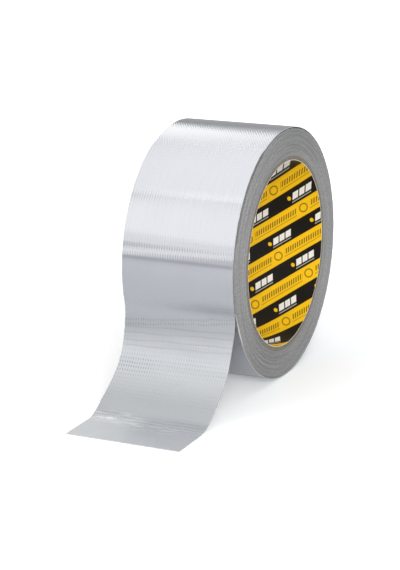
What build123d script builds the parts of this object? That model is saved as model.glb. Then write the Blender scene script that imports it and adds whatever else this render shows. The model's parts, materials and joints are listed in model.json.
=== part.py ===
from build123d import *
import os
from math import ceil, cos, pi, radians, sin

# Duct tape roll, standing on its rim with the free end pulled down and laid on the surface in front.
# Frame: origin at the middle of the core's bore, +Y along the bore, +Z up, free end towards -X. Millimetres.
# A spiral-wound board core with a printed liner carries the wound laps. The outermost lap and the free
# end are the laminate itself: adhesive inside, cloth scrim in the middle, plastic film outside.

# Tape
TAPE_WIDTH = 48.0
ADHESIVE_THICKNESS = 0.10
SCRIM_THICKNESS = 0.06
FILM_THICKNESS = 0.08
WOUND_LAPS = 47             # laps under the outermost one
LAP_RUNNING_GAP = 0.05      # radial, between the wound laps and the outermost lap at its tightest
LAP_STEP_GAP = 0.04         # between the end of the outermost lap and the free end lying over it

# Core
BORE_RADIUS = 38.1
LINER_THICKNESS = 0.2
PLY_THICKNESS = 0.4
PLY_COUNT = 4
WINDING_LEAD = 120.0        # axial advance of the spiral-wound strips in one turn
SEAM_GAP = 0.3              # butt gap between neighbouring turns of one strip
SEAM_OVERCUT = 0.3          # how far a seam's cutter passes a strip's faces
LINER_SEAM_START = 108.0    # degrees up from +X to the liner's seam, at the +Y side
SEAM_STAGGER = 72.0         # degrees from one strip's seam to the next

# Free end, seen from the side: it leaves the roll, curls outward, slopes down and lies flat
EXIT_ANGLE = 14.0           # below the bore's level, where the tape leaves the roll
CURL_RADIUS = 24.0
RAMP_SLOPE = 36.5
TOE_RADIUS = 15.0
FLAT_LENGTH = 17.0
FREE_SEGMENTS = 6
HINGE_GAP = 0.04            # between neighbouring stiff segments of the free end

TAPE_THICKNESS = ADHESIVE_THICKNESS + SCRIM_THICKNESS + FILM_THICKNESS
CORE_RADIUS = BORE_RADIUS + LINER_THICKNESS + PLY_COUNT * PLY_THICKNESS
WOUND_RADIUS = CORE_RADIUS + WOUND_LAPS * TAPE_THICKNESS
LAP_DROP = TAPE_THICKNESS + LAP_STEP_GAP
LAP_BASE_RADIUS = WOUND_RADIUS + LAP_RUNNING_GAP + LAP_DROP
LAP_CENTRE_SHIFT = LAP_DROP / 2
OUTER_RADIUS = LAP_BASE_RADIUS + TAPE_THICKNESS
FLOOR_Z = -(OUTER_RADIUS - LAP_CENTRE_SHIFT * (1 + sin(radians(EXIT_ANGLE))))

# Each layer as its inner and outer distance from the tape's adhesive face
LAYERS = {
    "adhesive": (0.0, ADHESIVE_THICKNESS),
    "scrim": (ADHESIVE_THICKNESS, ADHESIVE_THICKNESS + SCRIM_THICKNESS),
    "film": (ADHESIVE_THICKNESS + SCRIM_THICKNESS, TAPE_THICKNESS),
}

SIDE = Plane.XZ             # its x is the row's X and its y is the row's Z


def heading_vector(angle):
    """The way the tape runs, in the side plane, at a heading in degrees."""
    return Vector(cos(radians(angle)), sin(radians(angle)))


def outward(angle):
    """The film side of tape that runs at this heading."""
    return Vector(sin(radians(angle)), -cos(radians(angle)))


EXIT_DIRECTION = Vector(-cos(radians(EXIT_ANGLE)), -sin(radians(EXIT_ANGLE)))
EXIT_POINT = EXIT_DIRECTION * LAP_BASE_RADIUS
EXIT_HEADING = EXIT_ANGLE - 90
RAMP_HEADING = RAMP_SLOPE - 180
FLAT_HEADING = -180.0


def arc_step(radius, start, end):
    """From one end of an arc of the free end to the other. It turns towards the film side."""
    return (outward(start) - outward(end)) * radius


def ramp_length():
    """The straight slope between the two curls, as long as it takes to come down to the floor."""
    curl = arc_step(CURL_RADIUS, EXIT_HEADING, RAMP_HEADING).Y
    toe = arc_step(TOE_RADIUS, RAMP_HEADING, FLAT_HEADING).Y
    return (FLOOR_Z - EXIT_POINT.Y - curl - toe) / heading_vector(RAMP_HEADING).Y


def free_end_runs():
    """The free end's adhesive face as (length, radius or None, heading at the start) in order."""
    return [
        (CURL_RADIUS * radians(EXIT_HEADING - RAMP_HEADING), CURL_RADIUS, EXIT_HEADING),
        (ramp_length(), None, RAMP_HEADING),
        (TOE_RADIUS * radians(RAMP_HEADING - FLAT_HEADING), TOE_RADIUS, RAMP_HEADING),
        (FLAT_LENGTH, None, FLAT_HEADING),
    ]


RUNS = free_end_runs()
FREE_LENGTH = sum(length for length, _, _ in RUNS)
SEGMENT_LENGTH = FREE_LENGTH / FREE_SEGMENTS


def place_on_free_end(distance):
    """(point on the adhesive face, heading) at a distance along the free end from where it leaves the roll."""
    point = EXIT_POINT
    for index, (length, radius, start) in enumerate(RUNS):
        here = distance if index == len(RUNS) - 1 else min(distance, length)
        end = start if radius is None else start - here / radius * 180 / pi
        step = heading_vector(start) * here if radius is None else arc_step(radius, start, end)
        point = point + step
        distance -= here
        if distance <= 0:
            return point, end
    return point, end


def offset_point(distance, height):
    """A point of the free end at a distance along it and a height over the adhesive face."""
    point, heading = place_on_free_end(distance)
    return point + outward(heading) * height


def layer_edges(begin, finish, height):
    """The edges of one face of a layer, from begin to finish along the free end."""
    edges = []
    passed = 0.0
    for length, radius, _ in RUNS:
        low = max(begin, passed)
        high = min(finish, passed + length)
        passed += length
        if high <= low:
            continue
        ends = offset_point(low, height), offset_point(high, height)
        if radius is None:
            edges.append(Line(*ends))
        else:
            edges.append(ThreePointArc(ends[0], offset_point((low + high) / 2, height), ends[1]))
    return edges


def across_width(outline):
    """A closed outline in the side plane, made as wide as the tape about the roll's middle."""
    return extrude(SIDE * make_face(outline), TAPE_WIDTH / 2, both=True)


def free_segment(number, layer):
    """One stiff length of one layer of the free end. Its neighbours hinge on it."""
    low, high = LAYERS[layer]
    begin = (number - 1) * SEGMENT_LENGTH + HINGE_GAP / 2
    finish = number * SEGMENT_LENGTH - (HINGE_GAP / 2 if number < FREE_SEGMENTS else 0.0)
    inner = layer_edges(begin, finish, low)
    outer = layer_edges(begin, finish, high)
    ends = [Line(offset_point(at, low), offset_point(at, high)) for at in (begin, finish)]
    return across_width(inner + outer + ends)


def lap_half(centre, radius, sign):
    """Half a turn about centre, starting on the exit side for sign 1 and on the far side for -1."""
    start = centre + EXIT_DIRECTION * (radius * sign)
    middle = centre + EXIT_DIRECTION.rotate(Axis.Z, -90) * (radius * sign)
    end = centre - EXIT_DIRECTION * (radius * sign)
    return ThreePointArc(start, middle, end)


def outer_lap(layer):
    """One layer of the outermost lap: two half turns about centres that lie a half drop apart."""
    low, high = LAYERS[layer]
    second_centre = EXIT_DIRECTION * -LAP_CENTRE_SHIFT
    outline = []
    for height in (low, high):
        radius = LAP_BASE_RADIUS + height
        outline.append(lap_half(Vector(0, 0), radius, 1))
        outline.append(lap_half(second_centre, radius - LAP_CENTRE_SHIFT, -1))
    for radius in (LAP_BASE_RADIUS, LAP_BASE_RADIUS - LAP_DROP):
        outline.append(Line(EXIT_DIRECTION * (radius + low), EXIT_DIRECTION * (radius + high)))
    return across_width(outline)


def tube(inner, outer):
    """A plain tube along the bore, as long as the tape is wide."""
    ring = Circle(outer) - Circle(inner)
    return extrude(SIDE * ring, TAPE_WIDTH / 2, both=True)


def wound_strip(inner, thickness, seam_angle):
    """A spiral-wound strip of the core: a tube with one butt seam that runs round it as a helix."""
    depth = thickness + 2 * SEAM_OVERCUT
    length = TAPE_WIDTH + 2 * SEAM_OVERCUT
    section = Pos(inner + thickness / 2, 0) * Rectangle(depth, SEAM_GAP)
    cutter = Solid.extrude_linear_with_rotation(
        section.face(), (0, 0, 0), (0, 0, length), 360 * length / WINDING_LEAD
    )
    lay_along_bore = Pos(0, length / 2, 0) * Rot(90, 0, 0) * Rot(0, 0, seam_angle)
    return tube(inner, inner + thickness) - lay_along_bore * cutter


def all_parts():
    """Every piece of the roll by node name."""
    parts = {"printed_liner": wound_strip(BORE_RADIUS, LINER_THICKNESS, LINER_SEAM_START)}
    for ply in range(1, PLY_COUNT + 1):
        inner = BORE_RADIUS + LINER_THICKNESS + (ply - 1) * PLY_THICKNESS
        seam_start = LINER_SEAM_START + ply * SEAM_STAGGER
        parts[f"core_ply_{ply}"] = wound_strip(inner, PLY_THICKNESS, seam_start)
    parts["wound_laps"] = tube(CORE_RADIUS, WOUND_RADIUS)
    for layer in LAYERS:
        parts[f"outer_lap_{layer}"] = outer_lap(layer)
        for number in range(1, FREE_SEGMENTS + 1):
            parts[f"free_end_{number}_{layer}"] = free_segment(number, layer)
    return parts


os.makedirs("parts", exist_ok=True)
for name, shape in all_parts().items():
    export_step(shape, f"parts/{name}.step")
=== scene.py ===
import json
from math import cos, pi, radians, sin, tan

import bmesh
import bpy
import numpy as np
from mathutils import Matrix, Vector


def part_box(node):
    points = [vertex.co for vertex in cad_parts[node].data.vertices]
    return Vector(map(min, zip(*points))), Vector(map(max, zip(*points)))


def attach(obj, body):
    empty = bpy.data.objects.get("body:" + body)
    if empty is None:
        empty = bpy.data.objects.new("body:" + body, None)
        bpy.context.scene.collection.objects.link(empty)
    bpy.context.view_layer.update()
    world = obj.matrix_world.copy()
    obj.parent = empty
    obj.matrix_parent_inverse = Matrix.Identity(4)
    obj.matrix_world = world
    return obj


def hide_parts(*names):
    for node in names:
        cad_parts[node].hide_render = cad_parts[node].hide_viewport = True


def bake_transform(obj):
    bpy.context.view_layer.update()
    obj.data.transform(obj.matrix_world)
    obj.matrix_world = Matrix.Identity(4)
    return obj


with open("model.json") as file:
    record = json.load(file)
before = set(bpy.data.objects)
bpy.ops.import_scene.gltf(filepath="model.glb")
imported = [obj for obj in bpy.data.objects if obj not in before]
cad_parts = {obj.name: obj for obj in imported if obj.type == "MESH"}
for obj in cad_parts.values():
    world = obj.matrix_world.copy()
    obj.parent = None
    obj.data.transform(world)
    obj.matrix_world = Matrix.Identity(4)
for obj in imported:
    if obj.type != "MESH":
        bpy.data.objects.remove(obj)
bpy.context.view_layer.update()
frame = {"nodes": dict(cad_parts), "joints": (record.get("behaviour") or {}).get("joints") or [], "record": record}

# A roll of silver cloth-backed tape on a spiral-wound board core. The roll stands on its rim, and its free
# end is pulled down at the front and laid flat. Lengths are in millimetres, and metres in the meshes.
MM = 0.001
# The layers of the tape, from the roll outward, and the material slot of each
SLOTS = {"adhesive": "adhesive", "scrim": "cloth_scrim", "film": "silver_film"}
LAYERS = tuple(SLOTS)


def box_mm(node):
    """The lowest and highest corner of a CAD node, in millimetres."""
    low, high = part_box(node)
    return np.array(low) / MM, np.array(high) / MM


# Sizes read from the frame
FLOOR_Z = box_mm("free_end_6_adhesive")[0][2]
HALF_WIDTH = box_mm("wound_laps")[1][1]
WOUND_RADIUS = box_mm("wound_laps")[1][0]
CORE_RADIUS = box_mm("core_ply_4")[1][0]
BORE_RADIUS = frame["record"]["mounts"][0]["dims"]["r_mm"]
LAYER_SPAN = {
    layer: tuple(corner[2] - FLOOR_Z for corner in box_mm(f"free_end_6_{layer}")) for layer in LAYERS
}
TAPE_THICKNESS = LAYER_SPAN["film"][1]
TIP_X = box_mm("free_end_6_film")[0][0]
HINGES = {
    joint["child"]: np.array(joint["pos_m"]) / MM for joint in frame["joints"] if joint["name"] != "unwind"
}
SEGMENTS = len(HINGES)

# The run of the tape: one turn round the roll, then the free end. u is the distance along the adhesive
# face from where the tape leaves the roll, negative on the roll. A heading is the way the tape runs, in
# degrees.
EXIT_ANGLE = 14.0           # the tape leaves the front of the roll so many degrees below its middle
LAP_GAP = 0.04
LAP_DROP = TAPE_THICKNESS + LAP_GAP     # how far the outermost lap sinks towards the roll in one turn
CURL_RADIUS = 24.0          # of the bend from the roll to the slope
RAMP_SLOPE = 36.5           # of the straight slope, in degrees
TOE_RADIUS = 15.0           # of the bend from the slope to the surface
EXIT_HEADING = EXIT_ANGLE - 90
RAMP_HEADING = RAMP_SLOPE - 180
FLAT_HEADING = -180.0
EXIT_POINT = HINGES["free_end_1"][[0, 2]]
LAP_BASE_RADIUS = np.hypot(*EXIT_POINT) - TAPE_THICKNESS
EXIT_BASE = EXIT_POINT * LAP_BASE_RADIUS / np.hypot(*EXIT_POINT)
PATH_STEP = 0.02


def heading_vector(degrees):
    """The way the tape runs, as (x, z)."""
    return np.stack([np.cos(np.radians(degrees)), np.sin(np.radians(degrees))], -1)


def film_side(degrees):
    """The way the film faces, as (x, z)."""
    return np.stack([np.sin(np.radians(degrees)), -np.cos(np.radians(degrees))], -1)


def run_table():
    """Where the tape's curvature changes: distances along it, and its headings there."""
    upper = pi * LAP_BASE_RADIUS
    lower = pi * (LAP_BASE_RADIUS - LAP_DROP / 2)
    curl = CURL_RADIUS * radians(EXIT_HEADING - RAMP_HEADING)
    toe = TOE_RADIUS * radians(RAMP_HEADING - FLAT_HEADING)
    curl_drop = CURL_RADIUS * (film_side(EXIT_HEADING) - film_side(RAMP_HEADING))[1]
    toe_step = TOE_RADIUS * (film_side(RAMP_HEADING) - film_side(FLAT_HEADING))
    ramp = (FLOOR_Z - EXIT_BASE[1] - curl_drop - toe_step[1]) / heading_vector(RAMP_HEADING)[1]
    curl_out = CURL_RADIUS * (film_side(EXIT_HEADING) - film_side(RAMP_HEADING))[0]
    flat_start = EXIT_BASE[0] + curl_out + ramp * heading_vector(RAMP_HEADING)[0] + toe_step[0]
    lengths = [upper, curl, ramp, toe, flat_start - TIP_X]
    stops = np.concatenate([[-upper - lower], -upper + np.cumsum([0.0] + lengths)])
    headings = [EXIT_HEADING - 360, EXIT_HEADING - 180, EXIT_HEADING, RAMP_HEADING, RAMP_HEADING]
    return stops, np.array(headings + [FLAT_HEADING, FLAT_HEADING])


RUN_STOPS, RUN_HEADINGS = run_table()
LAP_START = RUN_STOPS[0]
TAPE_END = RUN_STOPS[-1]
SEGMENT_LENGTH = TAPE_END / SEGMENTS


def trace_path():
    """The adhesive face's distances, x and z, from the start of the outermost lap to the tape's end."""
    u = np.arange(LAP_START, TAPE_END + PATH_STEP, PATH_STEP)
    way = heading_vector(np.interp(u, RUN_STOPS, RUN_HEADINGS))
    steps = (way[1:] + way[:-1]) / 2 * PATH_STEP
    points = np.concatenate([[[0.0, 0.0]], np.cumsum(steps, 0)])
    at_exit = [np.interp(0.0, u, points[:, axis]) for axis in (0, 1)]
    points += EXIT_BASE - at_exit
    return u, points[:, 0], points[:, 1]


PATH_U, PATH_X, PATH_Z = trace_path()

# Small irregularities of the tape
EDGE_DRIFT = 0.42           # how far the last quarter turn and the free end lie sideways off the laps
DRIFT_RUN = (-72.0, 3.0)    # where the tape starts to go sideways, and over what length
# The free end swells out, then in, off its plain run: centre, height and reach of each swell, at the +Y
# and at the -Y edge
SWELLS = (((11.0, 15.5), (0.6, 2.0), (7.5, 10.0)), ((33.0, 40.0), (-1.1, -0.9), (9.5, 9.5)))
FREE_RUN = (-3.0, 11.0)     # where the free end starts to come off its plain run, and over what length
FLAT_RUN = (46.0, 9.0)      # the same for where it settles on the surface
SWAY = 0.02
SWAY_SLANT = 0.35
EDGE_RAGGEDNESS = 0.05
RAGGED_POWER = 12           # the higher, the closer to the edges the raggedness stays
WARP_PITCH = 1.1            # the cloth's threads along the tape
WEFT_PITCH = 1.75           # and across it
TAUT_RELIEF = 0.010         # how far the threads show through the film round the front of the roll
SLACK_RELIEF = 0.030        # and where the tape is slack: over the top of the roll, and on the free end
SLACK_BEHIND = (80, 8)      # counted back round the roll: where the slack starts, and over what length
SLACK_AHEAD = (18, 12)      # and the same along the free end
THREAD_SWAY = 0.05          # how far the threads run off straight
# Creases across the tape: distance along it at the +Y and at the -Y edge, height, and half width
CREASES = (
    (10.0, 7.8, -0.010, 0.30),
    (12.7, 10.2, -0.012, 0.30),
    (15.5, 13.7, -0.016, 0.30),
    (17.9, 16.3, -0.022, 0.32),
)
CREASE_WANDER = 0.16
CREASE_WAVE = 23.0
# Irregular lines, as waves() takes them: seed, longest and shortest wave, and how many waves
SWAY_WAVES = (3, 26.0, 8.0, 4)
THREAD_WAVES = (5, 60.0, 9.0, 6)
RAGGED_WAVES = (7, 9.0, 1.7, 7)
LAP_WAVES = (11, 9.0, 0.7, 6)
SIDE_WAVES = ((11, 14.0, 1.3, 6), (13, 14.0, 1.3, 6))   # of the -Y and the +Y side


def smooth_step(value, start, length):
    t = np.clip((value - start) / length, 0, 1)
    return t * t * (3 - 2 * t)


def waves(u, seed, longest, shortest, count):
    """A smooth irregular line of height about 1: a few sine waves between two wavelengths."""
    random = np.random.default_rng(seed)
    lengths = np.geomspace(longest, shortest, count)
    phases = random.uniform(0, 2 * pi, count)
    return sum(np.sin(2 * pi * u / length + phase) for length, phase in zip(lengths, phases)) / count ** 0.5


def crease_line(y, far, near):
    """Where a crease runs, as a distance along the tape. The film's material works out the same line."""
    share = 0.5 - y / HALF_WIDTH / 2
    return far + (near - far) * share + CREASE_WANDER * np.sin(2 * pi * y / CREASE_WAVE + far)


def crease_height(u, y):
    """How far the creases push the tape outward."""
    total = np.zeros_like(u)
    for far, near, height, width in CREASES:
        total += height * np.exp(-((u - crease_line(y, far, near)) / width) ** 2)
    return total


def tape_lift(u, y):
    """How far the whole tape stands off its plain run, towards its film side."""
    share = 0.5 - y / HALF_WIDTH / 2
    swell = np.zeros_like(u)
    for centre, height, reach in SWELLS:
        place, tall, wide = (far + (near - far) * share for far, near in (centre, height, reach))
        swell += tall * np.exp(-((u - place) / wide) ** 2)
    free = smooth_step(u, *FREE_RUN) * (1 - smooth_step(u, *FLAT_RUN))
    sway = SWAY * waves(u + SWAY_SLANT * y, *SWAY_WAVES)
    return (swell + sway) * free + crease_height(u, y)


def weave_height(u, y):
    """The cloth's threads showing through the film."""
    warp = np.cos(2 * pi * (y + THREAD_SWAY * waves(u, *THREAD_WAVES)) / WARP_PITCH)
    slack = smooth_step(-u, *SLACK_BEHIND) + smooth_step(u, *SLACK_AHEAD)
    return (TAUT_RELIEF + (SLACK_RELIEF - TAUT_RELIEF) * slack) * (0.5 + 0.5 * warp)


def tape_points(u, y, height):
    """Points of the tape at a distance along it, a place across it and a height over its adhesive face."""
    side = film_side(np.interp(u, RUN_STOPS, RUN_HEADINGS))
    lift = height + tape_lift(u, y)
    ragged = EDGE_RAGGEDNESS * waves(u, *RAGGED_WAVES) * np.abs(y / HALF_WIDTH) ** RAGGED_POWER
    drift = EDGE_DRIFT * smooth_step(u, *DRIFT_RUN)
    x = np.interp(u, PATH_U, PATH_X) + side[..., 0] * lift
    z = np.interp(u, PATH_U, PATH_Z) + side[..., 1] * lift
    return np.stack([x, y + ragged * np.sign(y) + drift, z], -1)


# --- Shader expressions -------------------------------------------------------------------------------

# The Mix node's colour sockets share their names with its other sockets, so they go by number
FIRST_COLOUR = 6
SECOND_COLOUR = 7
MIXED_COLOUR = 2


class Nodes:
    """A node tree that nodes are added to."""

    def __init__(self, tree):
        self.tree = tree

    def plug(self, socket, value):
        """Links a shader value to a socket, or sets the socket to a plain value."""
        if isinstance(value, Shade):
            self.tree.links.new(value.socket, socket)
        else:
            socket.default_value = value

    def node(self, kind, settings=None, sockets=None, output=0):
        """Adds a node, makes its settings, then fills its sockets. Gives one output, or a list of them."""
        node = self.tree.nodes.new("ShaderNode" + kind)
        for name, value in (settings or {}).items():
            setattr(node, name, value)
        for name, value in (sockets or {}).items():
            self.plug(node.inputs[name], value)
        if isinstance(output, tuple):
            return [Shade(self, node.outputs[name]) for name in output]
        return Shade(self, node.outputs[output])

    def blend(self, factor, first, second):
        """One colour over another."""
        sockets = {"Factor": factor, FIRST_COLOUR: first, SECOND_COLOUR: second}
        return self.node("Mix", {"data_type": "RGBA"}, sockets, MIXED_COLOUR)

    def seen_by(self, *rays):
        """1 for each of the named kinds of ray, 0 for others."""
        return self.node("LightPath", output=tuple(f"Is {ray} Ray" for ray in rays))

    def place(self):
        """The point in the object's own frame, in millimetres, as x, y and z."""
        point = self.node("TexCoord", output="Object")
        split = self.node("SeparateXYZ", sockets={"Vector": point}, output=("X", "Y", "Z"))
        return [part / MM for part in split]


class Shade:
    """A socket in a node tree. Arithmetic on it adds Math nodes."""

    def __init__(self, nodes, socket):
        self.nodes = nodes
        self.socket = socket

    def maths(self, operation, *terms):
        return self.nodes.node("Math", {"operation": operation}, dict(enumerate(terms)))

    def __add__(self, other):
        return self.maths("ADD", self, other)

    def __sub__(self, other):
        return self.maths("SUBTRACT", self, other)

    def __rsub__(self, other):
        return self.maths("SUBTRACT", other, self)

    def __mul__(self, other):
        return self.maths("MULTIPLY", self, other)

    def __truediv__(self, other):
        return self.maths("DIVIDE", self, other)

    def __pow__(self, other):
        return self.maths("POWER", self, other)

    __radd__ = __add__
    __rmul__ = __mul__

    def sine(self):
        return self.maths("SINE", self)

    def size(self):
        return self.maths("ABSOLUTE", self)

    def at_most(self, limit):
        return self.maths("MINIMUM", self, limit)

    def angle(self, other):
        """The angle in radians whose tangent is this value over the other one."""
        return self.maths("ARCTAN2", self, other)

    def zigzag(self, period):
        """0 at each whole period, 1 half way between, straight in between."""
        return self.maths("PINGPONG", self, period / 2) * (2 / period)

    def nearest(self):
        """The nearest whole number."""
        return self.maths("ROUND", self)

    def wrap(self, period):
        """How far the value lies above the nearest whole period; below it, less than 0."""
        return self - (self / period).nearest() * period

    def step(self, start, end):
        """0 up to start, 1 from end, smooth in between."""
        sockets = {"Value": self, "From Min": start, "From Max": end}
        return self.nodes.node("MapRange", {"interpolation_type": "SMOOTHSTEP"}, sockets)

    def ridge(self, width):
        """1 where the value is 0, falling to 0 at width on either side."""
        return 1 - self.size().step(0.0, width)

    def near(self, place, reach):
        """1 at a place, falling to 0 at reach on either side."""
        return (self - place).ridge(reach)


class Finish(Nodes):
    """A material built round one Principled shader."""

    def __init__(self, name, **constants):
        self.material = bpy.data.materials.new(name)
        self.material.use_nodes = True
        super().__init__(self.material.node_tree)
        self.shader = self.tree.nodes["Principled BSDF"]
        for socket, value in constants.items():
            self.shader.inputs[socket.replace("_", " ")].default_value = value

    def feed(self, **sockets):
        """Fills sockets of the shader, and gives the material."""
        for name, value in sockets.items():
            self.plug(self.shader.inputs[name.replace("_", " ")], value)
        return self.material

    def tape_place(self):
        """The distance along the tape and the place across it, in millimetres."""
        point = self.node("UVMap", {"uv_map": "tape"})
        split = self.node("SeparateXYZ", sockets={"Vector": point}, output=("X", "Y"))
        return [part / MM for part in split]

    def at(self, x, y, z=0.0):
        """The vector that noise is taken at."""
        return self.node("CombineXYZ", sockets={"X": x, "Y": y, "Z": z})

    def noise(self, at, detail=2.0, roughness=0.5):
        """Smooth noise between 0 and 1 whose grain is one unit of the vector."""
        sockets = {"Vector": at, "Scale": 1.0, "Detail": detail, "Roughness": roughness}
        return self.node("TexNoise", sockets=sockets)

    def bump(self, height, unit):
        """Relief: a height of 1 stands a unit, in millimetres, off the surface."""
        return self.node("Bump", sockets={"Height": height, "Distance": unit * MM, "Strength": 1.0})


def rgb(red, green, blue):
    return (red, green, blue, 1.0)


# --- Finishes -----------------------------------------------------------------------------------------

# Stretches of the tape, as distances along it from where it leaves the roll
HANDLED_RUN = (2, 22)       # here the threads come to show through the free end
DULL_RUN = (-14, 5)         # and the film loses its gloss
SLOPE_SHADE_RUN = (26, 42)        # painted shade: the lower slope is painted darker
PRESSED_RUN = (48, 57)      # the end is pressed flat, smoother and paler
TOP_RUN = (57, 66)          # counted back round the roll: over its top the cloth shows again
LIT_CORNER_SPAN = (-3, 16)      # across the tape, towards the -Y corner of the pressed end, which is painted paler as painted light
# Stretches given by their middle, and their reach to either side
RUBBED = (-62, 34)
# painted shade: a darker band of the film round the bend
PAINTED_BEND_SHADE = (8.5, 7)
# painted highlight: a paler band of the film further down the free end
PAINTED_SHEEN_BAND = (22, 10)
# Where the cloth shows most through the free end: distance along, place across, and the reach of each
WEAVE_PATCHES = ((26.5, 16.0, 8.0, 18.0), (53.0, -13.0, 6.0, 20.0), (50.0, 15.0, 4.8, 16.0))
# Painted glints: pale streaks painted on the pressed end, given in the same way
PAINTED_GLINTS = ((52.5, 15.0, 6.0, 17.0), (57.0, 2.0, 5.0, 10.0), (56.0, -9.0, 7.0, 12.0))
# Rows of dark stitches where the tape starts to bend: distance at the +Y edge and at the -Y edge
STITCH_ROWS = ((6.3, 1.0), (8.3, 2.6))
STITCH_REACH = 0.8
STITCH_WANDER = 2.4
THREAD_WANDER = 0.7
# Tones of the film; some of them are painted shade and painted light
SILVER = (rgb(0.45, 0.462, 0.50), rgb(0.48, 0.49, 0.525))
HANDLED_SILVER = rgb(0.45, 0.464, 0.49)
# painted shade round the bend
PAINTED_BEND_SHADE_SILVER = rgb(0.38, 0.395, 0.42)
# painted highlight band
PAINTED_SHEEN_SILVER = rgb(0.49, 0.505, 0.535)
# painted shade on the lower slope
PAINTED_SLOPE_SHADE_SILVER = rgb(0.34, 0.352, 0.374)
PRESSED_SILVER = rgb(0.53, 0.545, 0.565)
# painted light: a paler -Y corner of the pressed end
PAINTED_LIGHT_CORNER_SILVER = rgb(0.60, 0.615, 0.64)
# dark thread marks and stitches, and painted shade along each crease
DARK_MARKS_AND_CREASE_SHADE = rgb(0.17, 0.185, 0.21)
SCUFF_SHADE = rgb(0.30, 0.31, 0.34)
# painted highlight of the glints
PAINTED_GLINT_TONE = rgb(0.86, 0.87, 0.89)
FILM_RELIEF = 0.012


def threads(along, across):
    """The cloth's threads as waves between -1 and 1: those along the tape, and those across it."""
    return (across * (2 * pi / WARP_PITCH)).sine(), (along * (2 * pi / WEFT_PITCH)).sine()


def beyond(line, along, across):
    """How far a point lies past a line across the tape, which is given at its +Y and its -Y edge."""
    far, near = line
    share = 0.5 - across / (2 * HALF_WIDTH)
    return along - far - share * (near - far)


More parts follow.
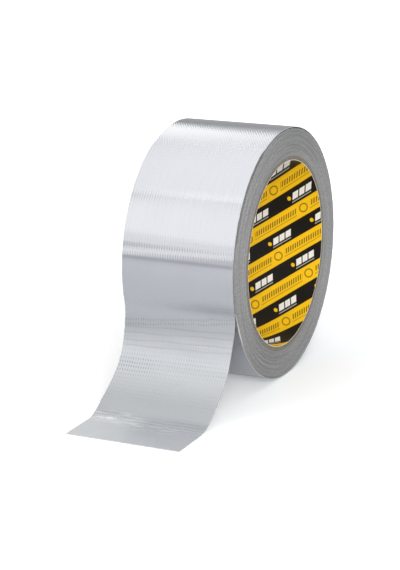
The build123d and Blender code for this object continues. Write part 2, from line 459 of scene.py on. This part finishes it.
class SilverFilm(Finish):
    """Silver pigmented polyethylene over cloth: satin, nearly metallic, with the threads showing through.
    The free end has been handled: it is duller than the tape on the roll, and its threads show more."""

    def __init__(self):
        super().__init__("silver_film", IOR=1.5)
        self.along, self.across = self.tape_place()
        self.handled = self.along.step(*HANDLED_RUN)
        self.dull = self.along.step(*DULL_RUN)
        self.pressed = self.along.step(*PRESSED_RUN)
        self.cloud = self.grain((16, 11), detail=3.0)
        self.worn = self.grain((7, 19), (40, 0), 4.0, 0.6)
        self.wander = self.grain((9, 9), (0, 7), 1.0)
        self.strand = self.grain((30, 0.42), roughness=0.7)
        self.scuff = self.grain((2.4, 0.16), detail=3.0, roughness=0.75)
        self.ripple = self.grain((0.9, 7), roughness=0.6)
        self.warp, self.weft = threads(self.along + self.wander * THREAD_WANDER, self.across)
        self.patches = self.handled * (self.worn.step(0.40, 0.66) * 0.45 + 0.05) + 0.03
        for patch in WEAVE_PATCHES:
            self.patches = self.patches + self.patch(patch) * 0.9

    def grain(self, size, shift=(0, 0), detail=2.0, roughness=0.5):
        """Noise whose grain has a size along the tape and one across it."""
        return self.noise(
            self.at(self.along / size[0] + shift[0], self.across / size[1] + shift[1]), detail, roughness
        )

    def patch(self, patch):
        """1 in the middle of a patch of the tape, falling to 0 at its reach."""
        place, side, length, width = patch
        return self.along.near(place, length) * self.across.near(side, width)

    def tone(self):
        """The film's colour along the free end, with painted shade round the bend and on the lower slope, a
        painted highlight band, and a paler -Y corner of the pressed end that is painted light.
        """
        tone = self.blend(self.cloud, *SILVER)
        tone = self.blend(self.handled, tone, HANDLED_SILVER)
        tone = self.blend(self.along.near(*PAINTED_BEND_SHADE), tone, PAINTED_BEND_SHADE_SILVER)
        tone = self.blend(self.along.near(*PAINTED_SHEEN_BAND), tone, PAINTED_SHEEN_SILVER)
        tone = self.blend(self.along.step(*SLOPE_SHADE_RUN), tone, PAINTED_SLOPE_SHADE_SILVER)
        tone = self.blend(self.pressed, tone, PRESSED_SILVER)
        return self.blend(self.pressed * (0 - self.across).step(*LIT_CORNER_SPAN), tone, PAINTED_LIGHT_CORNER_SILVER)

    def stitches(self):
        """Rows of short dark strokes, one for each thread along the tape."""
        total = 0.0
        stroke = self.warp.step(-0.1, 0.9) * self.scuff.step(0.35, 0.6)
        for row in STITCH_ROWS:
            line = beyond(row, self.along, self.across) - self.wander * STITCH_WANDER
            total = line.ridge(STITCH_REACH) * stroke + total
        return total * self.worn.step(0.25, 0.5)

    # Painted shade: lines along each crease, where the film is painted darker
    def crease_shade_lines(self):
        total = 0.0
        for far, near, _, width in CREASES:
            bow = (self.across * (2 * pi / CREASE_WAVE) + far).sine() * CREASE_WANDER
            total = (beyond((far, near), self.along, self.across) - bow).ridge(1.5 * width) + total
        return total

    def marked(self):
        """The film's colour with the threads, stitches and scuffs on it, painted shade along each crease, and
        painted glints.
        """
        dots = ((self.warp * 0.5 + 0.5) * (self.weft * 0.5 + 0.5)).step(0.42, 0.85) * self.patches
        lines = self.warp.step(0.2, 0.9) * self.handled * (1 - self.pressed)
        # the crease lines in these marks are painted shade
        marks = dots * 0.6 + self.stitches() * 0.8 + self.crease_shade_lines() * 0.2 + lines * 0.07
        colour = self.blend(marks.at_most(0.8), self.tone(), DARK_MARKS_AND_CREASE_SHADE)
        # painted glints: pale streaks over the pressed end
        for glint in PAINTED_GLINTS:
            colour = self.blend(self.ripple.step(0.48, 0.66) * self.patch(glint) * 0.6, colour, PAINTED_GLINT_TONE)
        return self.blend(self.strand.step(0.35, 0.75) * 0.1, colour, SCUFF_SHADE)

    def roughness(self):
        rubbed = self.along.near(*RUBBED)
        worn = self.dull * 0.24 + self.pressed * 0.08 + rubbed * 0.14
        return worn + self.cloud * 0.03 + self.scuff * 0.04 + 0.06

    def relief(self):
        """How far the threads, the strands and the ripples stand out."""
        over = (0 - self.along).step(*TOP_RUN)
        height = self.warp * (self.handled * 0.5 + 0.2) + self.weft * (self.patches * 1.2 + 0.05)
        height = height + self.strand * (self.dull * 0.8 + 0.3) + self.cloud
        return height + self.ripple * self.pressed * 4 + self.warp * self.weft * over * 1.5

    def made(self):
        metal = 0.92 - self.pressed * 0.35
        gloss = self.roughness()
        normal = self.bump(self.relief(), FILM_RELIEF)
        return self.feed(Base_Color=self.marked(), Metallic=metal, Roughness=gloss, Normal=normal)


THREAD_TONES = (rgb(0.52, 0.52, 0.50), rgb(0.78, 0.77, 0.74))
FIBRE_GRAIN = 0.3
CLOTH_RELIEF = 0.02


def cloth_scrim():
    """Off-white cotton and polyester threads, seen at the cut edges."""
    finish = Finish("cloth_scrim", Roughness=0.9)
    along, across = finish.tape_place()
    warp, weft = threads(along, across)
    fibre = finish.noise(finish.at(along / FIBRE_GRAIN, across / FIBRE_GRAIN), 3.0)
    colour = finish.blend(fibre, *THREAD_TONES)
    return finish.feed(Base_Color=colour, Normal=finish.bump(warp + weft + fibre * 2, CLOTH_RELIEF))


RUBBER_TONES = (rgb(0.58, 0.585, 0.58), rgb(0.72, 0.72, 0.70))
RUBBER_LUMP = rgb(0.78, 0.78, 0.76)
RUBBER_RELIEF = 0.014


def rubber_adhesive():
    """Pale grey tacky rubber, pressed into the threads, with coating streaks along the tape."""
    finish = Finish("rubber_adhesive", IOR=1.48)
    along, across = finish.tape_place()
    streak = finish.noise(finish.at(along / 40, across / 0.9), 3.0, 0.6)
    lump = finish.noise(finish.at(along / 2.2, across / 1.6), 3.0)
    warp, weft = threads(along, across)
    tint = finish.blend(streak, *RUBBER_TONES)
    colour = finish.blend(lump.step(0.5, 0.8) * 0.4, tint, RUBBER_LUMP)
    normal = finish.bump(warp * 0.6 + weft * 0.6 + lump * 3 + streak, RUBBER_RELIEF)
    return finish.feed(Base_Color=colour, Roughness=streak * 0.2 + 0.32, Normal=normal)


# Where the free end leaves the roll, a painted highlight lies on the lap below: the angle above the
# horizon at the front, in radians
SLIVER_ANGLE = -0.43
SLIVER_REACH = 0.2
# Between these angles the outermost lap lies off the one below, and a dark line is painted along it as painted
# shadow
SEAM_LINE = (0.25, 1.15)
SEAM_FADE = 0.1
# Tones of the cut edges, with a painted shadow and a painted highlight
EDGE_BANDS = (rgb(0.205, 0.206, 0.21), rgb(0.30, 0.30, 0.302))
EDGE_LINE = rgb(0.44, 0.436, 0.43)
EDGE_SPECK = rgb(0.165, 0.168, 0.175)
EDGE_FLUFF = rgb(0.56, 0.555, 0.545)
# painted shadow along the outermost lap
PAINTED_SEAM_SHADOW = rgb(0.045, 0.048, 0.055)
# painted highlight on the lap below
PAINTED_SLIVER_HIGHLIGHT = rgb(0.86, 0.86, 0.85)
EDGE_RELIEF = 0.02


def lap_edges():
    """The cut edges of all the laps: grey film, pale threads and dull adhesive side by side, with a painted shadow
    line along the outermost lap and a painted highlight where the free end leaves the roll.
    """
    finish = Finish("lap_edges", Metallic=0.2, IOR=1.45)
    x, y, z = finish.place()
    radius = (x * x + z * z) ** 0.5
    front = z.angle(0 - x)
    way_x = x / radius
    way_z = z / radius
    lap = finish.noise(finish.at(radius / TAPE_THICKNESS, way_x * 1.6, way_z * 1.6), 1.0)
    ring = finish.noise(finish.at(radius / 0.8 + 13, way_x, way_z), 2.0)
    grain = finish.noise(finish.at(x / 1.1, z / 1.1, y / 2), 3.0, 0.8)
    fluff = finish.noise(finish.at(x / 0.6, z / 0.6 + 9, y), 3.0, 0.75)
    band = finish.blend(ring.step(0.3, 0.7), *EDGE_BANDS)
    lined = finish.blend(lap.step(0.35, 0.7) * 0.45, band, EDGE_LINE)
    specked = finish.blend(grain.step(0.46, 0.62) * 0.55, lined, EDGE_SPECK)
    fluffed = finish.blend(fluff.step(0.54, 0.72) * 0.7, specked, EDGE_FLUFF)
    rim = radius - WOUND_RADIUS
    start, end = SEAM_LINE
    # painted shadow: a dark line along the outermost lap
    seam_shadow = (rim + 0.2 + grain * 0.3).ridge(0.6) * ring.step(0.3, 0.5)
    seam_shadow = seam_shadow * front.step(start, start + SEAM_FADE) * (1 - front.step(end - SEAM_FADE, end))
    seam_shadowed = finish.blend(seam_shadow * 0.8, fluffed, PAINTED_SEAM_SHADOW)
    # painted highlight on the lap below, where the free end leaves the roll
    sliver_highlight = front.near(SLIVER_ANGLE, SLIVER_REACH) * (rim + 0.5).ridge(0.5)
    edges = finish.blend(sliver_highlight * 0.9, seam_shadowed, PAINTED_SLIVER_HIGHLIGHT)
    normal = finish.bump(lap * 2 + fluff * 3, EDGE_RELIEF)
    return finish.feed(Base_Color=edges, Roughness=fluff * 0.2 + 0.5, Normal=normal)


BOARD_TONES = ((0.145, 0.125, 0.098), (0.28, 0.245, 0.19))
BOARD_FLECK = rgb(0.45, 0.42, 0.35)
BOARD_RELIEF = 0.05
PLY_SHADES = (1.0, 0.86, 1.06, 0.92)    # how pale each ply of the core is, from the bore outward


def kraft_board(name, shade):
    """Brown recycled board: short fibres, flecks and a felt of loose ends at the cut."""
    finish = Finish(name, Roughness=0.88)
    x, y, z = finish.place()
    fibre = finish.noise(finish.at(x / 0.5, y / 0.9, z / 0.5), 4.0, 0.7)
    fleck = finish.noise(finish.at(x / 0.22, y / 0.22 + 5, z / 0.22), 2.0)
    dark, pale = (rgb(*(shade * part for part in tone)) for tone in BOARD_TONES)
    board = finish.blend(fibre.step(0.3, 0.7), dark, pale)
    colour = finish.blend(fleck.step(0.62, 0.75) * 0.6, board, BOARD_FLECK)
    return finish.feed(Base_Color=colour, Normal=finish.bump(fibre + fleck * 0.5, BOARD_RELIEF))


BAND_COUNT = 11             # pairs of a yellow and a black band round the bore
BAND_SPREAD = 5 / 32        # the bands are wider at the bore's top and foot, and look even from the side
BAND_SLANT = radians(33.0)  # from the bore's axis
BAND_SHIFT = 7.5            # where the middle of a black band lies, along the arc at mid width
# A mark's place is x times the lean, less y, so that it stands upright as seen from the front
MARK_LEAN = 0.49
MARK_STAGGER = 6 / 11       # from one band to the next, as a share of the distance between marks
BLOCK_PITCH = 19.4          # along the black bands, from one group of blocks to the next
BLOCK_PLACE = 4.9
BLOCK_ENDS = ((0.0, 1.05), (1.65, 4.0))   # the blocks of a group, as distances from its middle
BLOCK_RISE = 1.15           # half the height of a block
DOT_PLACE = -5.7            # a dot stands beside each group
DOT_RADIUS = 0.75
RULE_DROP = 2.05            # a thin rule lies this far below a group's middle
RULE_REACH = 4.1
RING_PITCH = 25.5           # along the yellow bands, from one ring to the next
RING_PLACE = -3.0
RING_RADIUS = 1.75
RING_LEAN = 0.38            # a ring is drawn a little taller towards the front
TICK_PITCH = 1.05
TICK_RISE = 0.3             # how far a row of ticks lies above the middle of its band
TICK_HALF = 0.9             # half the height of a tick
TICK_REACH = 9.6            # the row's ends, either side of the middle between two rings
FINE_DROP = 1.5             # a line of fine print lies this far below the middle
LINE_REACH = 0.35           # the rule and the fine line fade out at this distance from their middle
PRINT_EDGE = 0.2            # how softly a mark ends
INK_TONES = (rgb(0.005, 0.0045, 0.0045), rgb(0.010, 0.009, 0.008))
YELLOW_TONES = (rgb(0.95, 0.555, 0.006), rgb(1.0, 0.62, 0.012))
WHITE_TONE = rgb(0.90, 0.90, 0.88)
BROWN_TONE = rgb(0.09, 0.06, 0.02)
PAPER_TONE = rgb(0.80, 0.79, 0.75)
PAPER_RELIEF = 0.010


class PrintedPaper(Finish):
    """Coated paper printed in yellow and black slanted bands, with plain blocks, dots, ticks and rings."""

    def __init__(self):
        super().__init__("printed_paper", IOR=1.45, Specular_IOR_Level=0.2)
        self.point = self.place()
        x, y, z = self.point
        turn = z.angle(x)
        even = 1 - 2 * BAND_SPREAD
        arc = (turn * even + (turn * 2).sine() * BAND_SPREAD) * BORE_RADIUS + BAND_SHIFT
        pitch = 2 * pi * BORE_RADIUS * even / BAND_COUNT
        self.band = (arc + y * tan(BAND_SLANT)) / pitch
        self.run = x * MARK_LEAN - y
        self.black_row = self.band.nearest()
        self.yellow_row = (self.band + 0.5).nearest()
        self.from_black = (self.band - self.black_row) * (pitch * cos(BAND_SLANT))
        self.from_yellow = (self.band + 0.5 - self.yellow_row) * (pitch * cos(BAND_SLANT))

    def grain(self, size, detail=2.0):
        return self.noise(self.at(*(part / size for part in self.point)), detail)

    def white_marks(self):
        """Groups of blocks on the black bands, each with a thin rule under it."""
        from_group = self.from_group().size()
        blocks = 0.0
        for start, end in BLOCK_ENDS:
            inner = (from_group + 1).step(start + 0.9, start + 1.1)
            blocks = inner * (1 - from_group.step(end, end + PRINT_EDGE)) + blocks
        blocks = blocks * (1 - self.from_black.size().step(BLOCK_RISE, BLOCK_RISE + PRINT_EDGE))
        length = 1 - from_group.step(RULE_REACH, RULE_REACH + PRINT_EDGE)
        rule = (self.from_black + RULE_DROP).ridge(LINE_REACH) * length
        return blocks + rule * 0.5

    def from_group(self):
        """How far along its band a point lies from the middle of the nearest group of blocks."""
        return (self.run + self.black_row * (MARK_STAGGER * BLOCK_PITCH) - BLOCK_PLACE).wrap(BLOCK_PITCH)

    def dots(self):
        beside = self.from_group() - DOT_PLACE
        rise = (self.from_black + beside * sin(BAND_SLANT)) / cos(BAND_SLANT)
        return 1 - ((beside ** 2 + rise ** 2) ** 0.5).step(DOT_RADIUS, DOT_RADIUS + 0.25)

    def brown_marks(self):
        """Rows of ticks on the yellow bands with a fine line under them, and a ring between two rows."""
        row = self.run + self.yellow_row * (MARK_STAGGER * RING_PITCH) - RING_PLACE
        from_ring = row.wrap(RING_PITCH)
        from_middle = (row + RING_PITCH / 2).wrap(RING_PITCH).size()
        tall = 1 - (self.from_yellow - TICK_RISE).size().step(TICK_HALF, TICK_HALF + PRINT_EDGE)
        ticks = (1 - self.run.zigzag(TICK_PITCH).step(0.45, 0.6)) * tall
        fine = (self.from_yellow + FINE_DROP).ridge(LINE_REACH) * 0.6
        lines = (ticks + fine) * (1 - from_middle.step(TICK_REACH, TICK_REACH + 0.3))
        rise = (self.from_yellow + from_ring * RING_LEAN) / cos(BAND_SLANT)
        ring = ((from_ring ** 2 + rise ** 2) ** 0.5 - RING_RADIUS).ridge(0.5)
        return (lines + ring).at_most(1.0)

    def made(self):
        x, y, z = self.point
        mottle = self.grain(5, 3.0)
        yellow = (self.band.zigzag(1.0) + self.grain(0.6) * 0.012).step(0.49, 0.52)
        sun = self.blend(mottle, *YELLOW_TONES)
        print_on = self.blend(yellow, self.blend(mottle, *INK_TONES), sun)
        print_on = self.blend(self.dots() * (1 - yellow), print_on, sun)
        print_on = self.blend(self.white_marks() * (1 - yellow), print_on, WHITE_TONE)
        print_on = self.blend(self.brown_marks() * yellow * 0.85, print_on, BROWN_TONE)
        radius = (x * x + z * z) ** 0.5
        bare = (radius - BORE_RADIUS).step(0.03, 0.06) + (y.size() - HALF_WIDTH).step(-0.03, -0.01)
        colour = self.blend(bare.at_most(1.0), print_on, PAPER_TONE)
        normal = self.bump(self.grain(0.25, 3.0), PAPER_RELIEF)
        return self.feed(Base_Color=colour, Roughness=mottle * 0.12 + 0.45, Normal=normal)


FLOOR_FADE = (60.0, 400.0)      # the floor's glow changes between these distances from the roll
GLOW_SEEN = (0.28, 1.0)         # near and far, as the camera sees it
GLOW_MIRRORED = (0.09, 0.14)    # and as the film mirrors it
GLOW_TINT = rgb(0.93, 0.965, 1)
FLOOR_PAINT = rgb(0.9, 0.9, 0.9)
BLACK = rgb(0, 0, 0)
WHITE = rgb(1, 1, 1)


def studio_floor():
    """White floor: paint that takes the shadow, and a little glow so that it fades into the background."""
    matt = {"Roughness": 1.0, "Specular_IOR_Level": 0.0, "Emission_Strength": 1.0}
    finish = Finish("studio_floor", Base_Color=FLOOR_PAINT, **matt)
    x, y, _ = finish.place()
    far = ((x * x + y * y) ** 0.5).step(*FLOOR_FADE)
    camera, glossy = finish.seen_by("Camera", "Glossy")
    glow = camera * (far * (GLOW_SEEN[1] - GLOW_SEEN[0]) + GLOW_SEEN[0])
    glow = glow + glossy * (far * (GLOW_MIRRORED[1] - GLOW_MIRRORED[0]) + GLOW_MIRRORED[0])
    return finish.feed(Emission_Color=finish.blend(glow, BLACK, GLOW_TINT))


# --- Meshes -------------------------------------------------------------------------------------------


def add_piece(name, points, faces, material, uvs=None, sharp=35):
    """A mesh from points in millimetres, shaded smooth but for corners sharper than so many degrees."""
    mesh = bpy.data.meshes.new(name)
    mesh.from_pydata((np.asarray(points) * MM).tolist(), [], np.asarray(faces).tolist())
    if uvs is not None:
        layer = mesh.uv_layers.new(name="tape")
        corners = np.zeros(len(mesh.loops), np.int32)
        mesh.loops.foreach_get("vertex_index", corners)
        layer.data.foreach_set("uv", (np.asarray(uvs)[corners] * MM).ravel())
    mesh.materials.append(material)
    mesh.polygons.foreach_set("use_smooth", np.ones(len(mesh.polygons), bool))
    mesh.set_sharp_from_angle(angle=radians(sharp))
    mesh.update()
    piece = bpy.data.objects.new(name, mesh)
    bpy.context.scene.collection.objects.link(piece)
    return piece


def grid_faces(index):
    """Quads between the neighbours of a two-way array of vertex numbers."""
    a, b, c, d = index[:-1, :-1], index[1:, :-1], index[1:, 1:], index[:-1, 1:]
    return np.stack([a, b, c, d], -1).reshape(-1, 4)


def slab(outer, inner):
    """Points and faces of a closed sheet between two faces of equal grids."""
    rows, columns = outer.shape[:2]
    top = np.arange(rows * columns).reshape(rows, columns)
    under = top + rows * columns
    faces = [grid_faces(top), grid_faces(under)[:, ::-1]]
    for line, other in ((top[:, 0], under[:, 0]), (top[::-1, -1], under[::-1, -1])):
        faces.append(grid_faces(np.stack([other, line], 1)))
    for line, other in ((top[0, ::-1], under[0, ::-1]), (top[-1], under[-1])):
        faces.append(grid_faces(np.stack([other, line], 1)))
    return np.concatenate([outer.reshape(-1, 3), inner.reshape(-1, 3)]), np.concatenate(faces)


RIB_SAMPLES = 4
FILM_COLUMNS = int(2 * HALF_WIDTH / WARP_PITCH * RIB_SAMPLES)
INNER_COLUMNS = 24
ROW_PITCH = {"film": 0.35, "scrim": 1.0, "adhesive": 1.0}
LAP_ROW_PITCH = 1.55


def tape_strip(name, layer, start, end, material, pitch):
    """One layer of the tape between two distances along it."""
    columns = FILM_COLUMNS if layer == "film" else INNER_COLUMNS
    rows = max(2, round((end - start) / pitch))
    u, y = np.meshgrid(
        np.linspace(start, end, rows + 1), np.linspace(-HALF_WIDTH, HALF_WIDTH, columns + 1), indexing="ij"
    )
    low, high = LAYER_SPAN[layer]
    relief = weave_height(u, y) if layer == "film" else 0.0
    points, faces = slab(tape_points(u, y, high + relief), tape_points(u, y, low))
    place = np.stack([u, y], -1).reshape(-1, 2)
    return add_piece(name, points, faces, material, np.concatenate([place, place]))


def middle(segment):
    """The distance along the tape to the middle of a stiff segment of the free end."""
    return (segment - 0.5) * SEGMENT_LENGTH


def point_on_tape(u):
    return Vector(tape_points(np.array(u), np.array(0.0), TAPE_THICKNESS) * MM)


LAP_HOLD = 5.0              # the last stretch of the lap belongs to the first bend
BLEND_MARGIN = 1.2          # points on the tape this far inside either end of each strip


def build_tape(materials):
    """The outermost lap and the free end, layer by layer. A strip runs across each hinge."""
    cuts = [-LAP_HOLD] + [middle(segment) for segment in range(1, SEGMENTS + 1)]
    for layer in LAYERS:
        material = materials[layer]
        lap = tape_strip(f"lap_{layer}", layer, LAP_START, cuts[0], material, LAP_ROW_PITCH)
        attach(lap, "outer_lap")
        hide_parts(f"outer_lap_{layer}")
        for segment in range(1, SEGMENTS + 1):
            start, end = cuts[segment - 1], cuts[segment]
            strip = tape_strip(f"bend_{segment}_{layer}", layer, start, end, material, ROW_PITCH[layer])
            marks = point_on_tape(start + BLEND_MARGIN), point_on_tape(end - BLEND_MARGIN)
            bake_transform(strip)
            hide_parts(f"free_end_{segment}_{layer}")
        tip = tape_strip(f"tip_{layer}", layer, cuts[-1], TAPE_END, material, ROW_PITCH[layer])
        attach(tip, f"free_end_{SEGMENTS}")


LAP_COUNT = round((WOUND_RADIUS - CORE_RADIUS) / TAPE_THICKNESS)
TURN_STEPS = 240
LAP_PROFILE = ((0.0, -0.055), (0.22, 0.0), (0.78, 0.0))  # share of the lap, and how far its edge stands out
LAP_WANDER = 0.042
LAP_ROUNDING = 1e-6
SIDE_INSET = 0.06


def lap_side(sign):
    """One side of the wound laps as a grid: round the roll from the exit line, and out along a spiral."""
    turn = np.linspace(0, 1, TURN_STEPS + 1)[:, None]
    share = [inner + part for inner in range(-1, LAP_COUNT) for part, _ in LAP_PROFILE] + [LAP_COUNT]
    stand = [out for _ in range(-1, LAP_COUNT) for _, out in LAP_PROFILE] + [LAP_PROFILE[0][1]]
    wound = np.array(share)[None] + turn
    radius = np.clip(CORE_RADIUS + wound * TAPE_THICKNESS, CORE_RADIUS, WOUND_RADIUS)
    lap = np.floor(wound + LAP_ROUNDING)
    wander = LAP_WANDER * waves(lap, *LAP_WAVES) + LAP_WANDER * waves(wound, *SIDE_WAVES[sign > 0])
    y = sign * (HALF_WIDTH - SIDE_INSET + np.array(stand)[None] + wander)
    angle = radians(180 + EXIT_ANGLE) + 2 * pi * turn
    return np.stack([radius * np.cos(angle), y, radius * np.sin(angle)], -1)


def build_wound_laps(material):
    """All the laps under the outermost one: a closed ring whose sides show the spiral of cut edges."""
    near, far = lap_side(-1), lap_side(1)
    rows, columns = near.shape[:2]
    near_index = np.arange(rows * columns).reshape(rows, columns)
    far_index = near_index + rows * columns
    faces = [grid_faces(near_index)[:, ::-1], grid_faces(far_index)]
    faces.append(grid_faces(np.stack([near_index[:, 0], far_index[:, 0]], 1)))
    faces.append(grid_faces(np.stack([near_index[:, -1], far_index[:, -1]], 1))[:, ::-1])
    points = np.concatenate([near.reshape(-1, 3), far.reshape(-1, 3)])
    piece = add_piece("wound_lap_edges", points, np.concatenate(faces), material, sharp=50)
    weld(piece)
    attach(piece, "roll")
    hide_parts("wound_laps")


WELD_REACH = 1e-7           # metres


def weld(piece):
    """Joins points that lie on each other, and drops the faces that this leaves without area."""
    shape = bmesh.new()
    shape.from_mesh(piece.data)
    bmesh.ops.remove_doubles(shape, verts=shape.verts, dist=WELD_REACH)
    bmesh.ops.dissolve_degenerate(shape, dist=WELD_REACH, edges=shape.edges)
    bmesh.ops.recalc_face_normals(shape, faces=shape.faces)
    shape.to_mesh(piece.data)
    shape.free()


def finish_core():
    """The core's board plies and its printed liner keep their CAD shape."""
    frame["nodes"]["printed_liner"].material_slots[0].material = PrintedPaper().made()
    for ply, shade in enumerate(PLY_SHADES, 1):
        node = frame["nodes"][f"core_ply_{ply}"]
        node.material_slots[0].material = kraft_board(f"kraft_board_{ply}", shade)


# --- Studio -------------------------------------------------------------------------------------------

FLOOR_SPAN = 6000.0
FLOOR_GAP = 0.02
CAMERA_PLACE = (-681.2, -314.4, 195.2)
CAMERA_YAW = 64.17          # to the right of +Y
CAMERA_PITCH = 15.71        # below the horizon
CAMERA_ROLL = -0.72
CAMERA_LENS = 118.6


def place_camera():
    camera = bpy.data.objects.new("camera", bpy.data.cameras.new("camera"))
    bpy.context.scene.collection.objects.link(camera)
    yaw = Matrix.Rotation(radians(-CAMERA_YAW), 4, "Z")
    pitch = Matrix.Rotation(radians(90 - CAMERA_PITCH), 4, "X")
    roll = Matrix.Rotation(radians(CAMERA_ROLL), 4, "Z")
    camera.matrix_world = Matrix.Translation(Vector(CAMERA_PLACE) * MM) @ yaw @ pitch @ roll
    camera.data.lens = CAMERA_LENS
    camera.data.clip_start = 0.01
    bpy.context.scene.camera = camera


# The lamps: place, the way each faces, turn in its own plane, width and height, and brightness, where 1 is
# as bright as the background
SOFTBOXES = {
    "overhead": ((-90.0, 100.0, 900.0), (0, 0, -1), 0.0, (1020.0, 1000.0), 0.96),
    "side_front": ((-1080.0, 560.0, 790.0), (0, -1, 0), 0.0, (885.0, 820.0), 0.96),
    "side_back": ((822.0, 560.0, 860.0), (0, -1, 0), 0.0, (596.0, 760.0), 1.16),
    "side_strip": ((-1240.0, 560.0, 129.0), (0, -1, 0), 19.0, (900.0, 106.0), 0.74),
    "side_skirt": ((-1240.0, 560.0, 296.0), (0, -1, 0), 0.0, (900.0, 162.0), 0.64),
    "fill": ((-900.0, -500.0, 380.0), (9, 5, -4), 0.0, (420.0, 340.0), 18.0),
}
SOFTBOX_TINT = (1.0, 0.99, 0.93)
WATTS_PER_AREA = 2.5        # of a rectangular lamp, for a face as bright as white paper in full light
WORLD_LEVEL = 0.55
WORLD_TINT = (0.96, 0.985, 1.04)
# The grey card stands square to the X axis. Its top is lower on the side towards the roll
FLAG_X = 600.0
FLAG_SPAN = (185.0, 365.0)
FLAG_FOOT = -50.0
FLAG_TOP = (300.0, 388.0)
FLAG_LEVEL = 0.46


def add_softbox(name, place, facing, turn, size, brightness):
    """A rectangular softbox at place, in millimetres. Brightness 1 is as bright as the background."""
    data = bpy.data.lights.new(name, "AREA")
    data.shape = "RECTANGLE"
    data.size, data.size_y = (side * MM for side in size)
    data.color = SOFTBOX_TINT
    data.energy = brightness * WATTS_PER_AREA * data.size * data.size_y
    lamp = bpy.data.objects.new(name, data)
    bpy.context.scene.collection.objects.link(lamp)
    aim = Vector(facing).to_track_quat("-Z", "Y").to_matrix().to_4x4()
    spin = Matrix.Rotation(radians(turn), 4, "Z")
    lamp.matrix_world = Matrix.Translation(Vector(place) * MM) @ aim @ spin
    lamp.visible_camera = False


def add_flag():
    """A grey card behind the roll, which only the film's reflections see."""
    near, far = FLAG_SPAN
    corners = [(FLAG_X, near, FLAG_FOOT), (FLAG_X, far, FLAG_FOOT)]
    corners += [(FLAG_X, far, FLAG_TOP[1]), (FLAG_X, near, FLAG_TOP[0])]
    glow = {"Emission_Color": rgb(FLAG_LEVEL, FLAG_LEVEL, FLAG_LEVEL), "Emission_Strength": 1.0}
    card = Finish("flag_card", Base_Color=BLACK, Roughness=1.0, **glow)
    flag = add_piece("flag", corners, [(0, 1, 2, 3)], card.material)
    flag.visible_camera = flag.visible_diffuse = flag.visible_shadow = False


def light_world():
    """A white background, and a plain soft level of slightly cool light from all round."""
    world = bpy.data.worlds.new("studio")
    bpy.context.scene.world = world
    world.use_nodes = True
    nodes = Nodes(world.node_tree)
    camera, glossy, through = nodes.seen_by("Camera", "Glossy", "Transmission")
    seen = (camera + glossy + through).at_most(1.0)
    soft = rgb(*(WORLD_LEVEL * part for part in WORLD_TINT))
    colour = nodes.blend(seen, soft, WHITE)
    nodes.plug(world.node_tree.nodes["Background"].inputs["Color"], colour)


def build_studio():
    light_world()
    for name, setting in SOFTBOXES.items():
        add_softbox(name, *setting)
    add_flag()
    reach = FLOOR_SPAN / 2
    level = FLOOR_Z - FLOOR_GAP
    turns = ((-1, -1), (1, -1), (1, 1), (-1, 1))
    corners = [(across * reach, along * reach, level) for across, along in turns]
    floor = add_piece("floor", corners, [(0, 1, 2, 3)], studio_floor())
    bpy.context.scene.view_settings.view_transform = "Standard"


place_camera()
build_tape({"adhesive": rubber_adhesive(), "scrim": cloth_scrim(), "film": SilverFilm().made()})
build_wound_laps(lap_edges())
finish_core()
build_studio()
